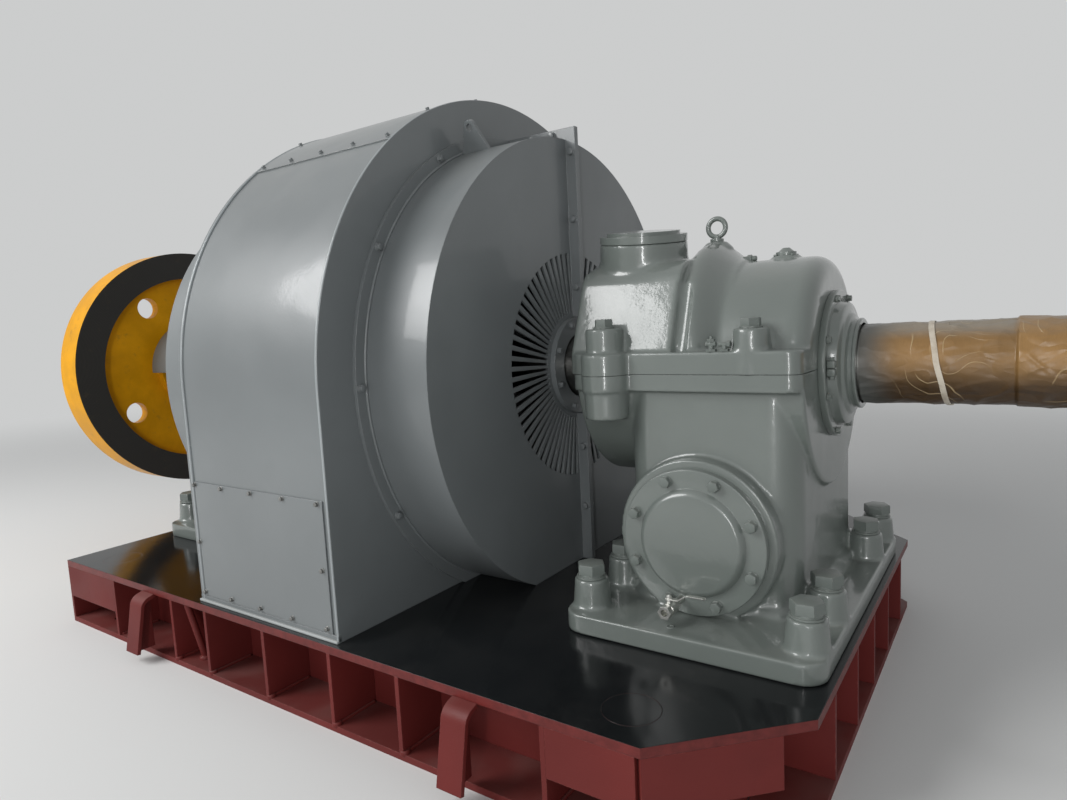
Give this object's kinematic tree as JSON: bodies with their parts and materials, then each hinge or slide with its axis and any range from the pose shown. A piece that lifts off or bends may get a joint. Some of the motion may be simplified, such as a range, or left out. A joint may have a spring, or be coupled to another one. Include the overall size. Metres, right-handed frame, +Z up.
{
  "type": "horizontal hydroelectric generator on a base frame",
  "caption": "Horizontal water turbine generator with louvred end shrouds, pedestal bearings, overhung flywheel and shaft end on a fabricated base frame.",
  "frame": {"origin": "middle of the base frame's underside, on the floor, under the shaft axis", "axes": "+X along the shaft towards the turbine end, +Y to the side away from the pictured one, +Z up"},
  "size_m": [4.976, 2.52, 2.23],
  "materials": {
    "red_oxide": "red oxide paint, satin",
    "black_gloss": "gloss black paint",
    "grey_enamel": "gloss grey enamel",
    "green_grey_enamel": "gloss grey enamel over castings",
    "amber": "gloss amber paint",
    "steel": "machined steel",
    "bronze": "bearing metal",
    "iron_core": "laminated core",
    "kraft_paper": "waxed brown paper",
    "strap": "packing strap"
  },
  "bodies": {
    "machine": {"base_top_plate": "black_gloss", "base_foot_flanges": "red_oxide", "base_foot_ties": "red_oxide", "base_side_webs": "red_oxide", "base_cross_webs": "red_oxide", "base_ribs": "red_oxide", "base_anchor_brackets": "red_oxide", "base_closing_panels": "red_oxide", "base_hatch_covers": "black_gloss", "stator_wrapper": "grey_enamel", "stator_front_wall": "grey_enamel", "stator_rear_wall": "grey_enamel", "stator_core": "iron_core", "roof_cover": "grey_enamel", "access_panels": "grey_enamel", "stator_sills": "grey_enamel", "front_shroud_near": "grey_enamel", "front_shroud_far": "grey_enamel", "rear_shroud_near": "grey_enamel", "rear_shroud_far": "grey_enamel", "front_pedestal": "green_grey_enamel", "front_bearing_cap": "green_grey_enamel", "front_bearing_bush": "bronze", "inspection_lid": "green_grey_enamel", "front_side_covers": "green_grey_enamel", "front_outer_end_cover": "green_grey_enamel", "front_inner_end_cover": "green_grey_enamel", "front_eye_bolt": "green_grey_enamel", "vent_cap": "green_grey_enamel", "front_hold_down_bolts": "green_grey_enamel", "drain_valve": "steel", "rear_pedestal": "green_grey_enamel", "rear_bearing_cap": "green_grey_enamel", "rear_bearing_bush": "bronze", "rear_end_covers": "green_grey_enamel", "rear_hold_down_bolts": "green_grey_enamel", "shaft_guard": "grey_enamel", "stator_frame_plates": "grey_enamel", "shaft_seals": "grey_enamel"},
    "rotor": {"shaft": "steel", "flywheel": "amber", "rotor_core": "iron_core", "shaft_wrap": "kraft_paper", "wrap_strap": "strap"},
    "drain_lever": {"drain_lever": "steel"}
  },
  "joints": [
    {"name": "rotor_spin", "type": "hinge", "parent": "machine", "child": "rotor", "pos_m": [0, 0, 1.13], "axis": [1, 0, 0], "continuous": true},
    {"name": "drain_lever_turn", "type": "hinge", "parent": "machine", "child": "drain_lever", "pos_m": [1.181, -0.59, 0.417], "axis": [0, 0, 1], "range_deg": [-90, 0]}
  ]
}
